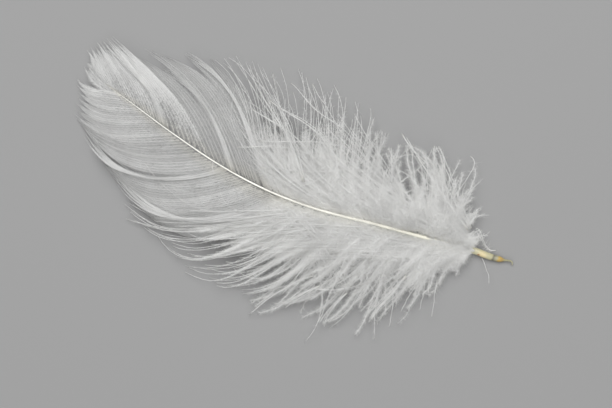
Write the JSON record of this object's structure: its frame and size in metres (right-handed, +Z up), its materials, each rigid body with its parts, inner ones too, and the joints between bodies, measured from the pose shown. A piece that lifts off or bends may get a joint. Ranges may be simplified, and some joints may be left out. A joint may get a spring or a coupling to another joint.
{
  "type": "goose feather",
  "caption": "White body feather with a bowed shaft, two closed vanes that end in loose overlapping locks, and fluffy down at the foot, lying outer side up.",
  "frame": {"origin": "middle of the feather's outline, on the surface that it lies on", "axes": "+X from the vane's tip to the quill's end, +Y over the right-hand vane as seen from the quill, +Z up out of the outer side"},
  "size_m": [0.1, 0.0514, 0.0089],
  "materials": {
    "shaft": "smooth cream horn, translucent and amber at the dried end",
    "vane": "fine parallel white barbs, silky",
    "down": "loose white fluff, matt"
  },
  "bodies": {
    "root": {"shaft": "shaft", "left_vane": "vane", "right_vane": "vane", "left_down": "down", "right_down": "down"}
  },
  "joints": []
}
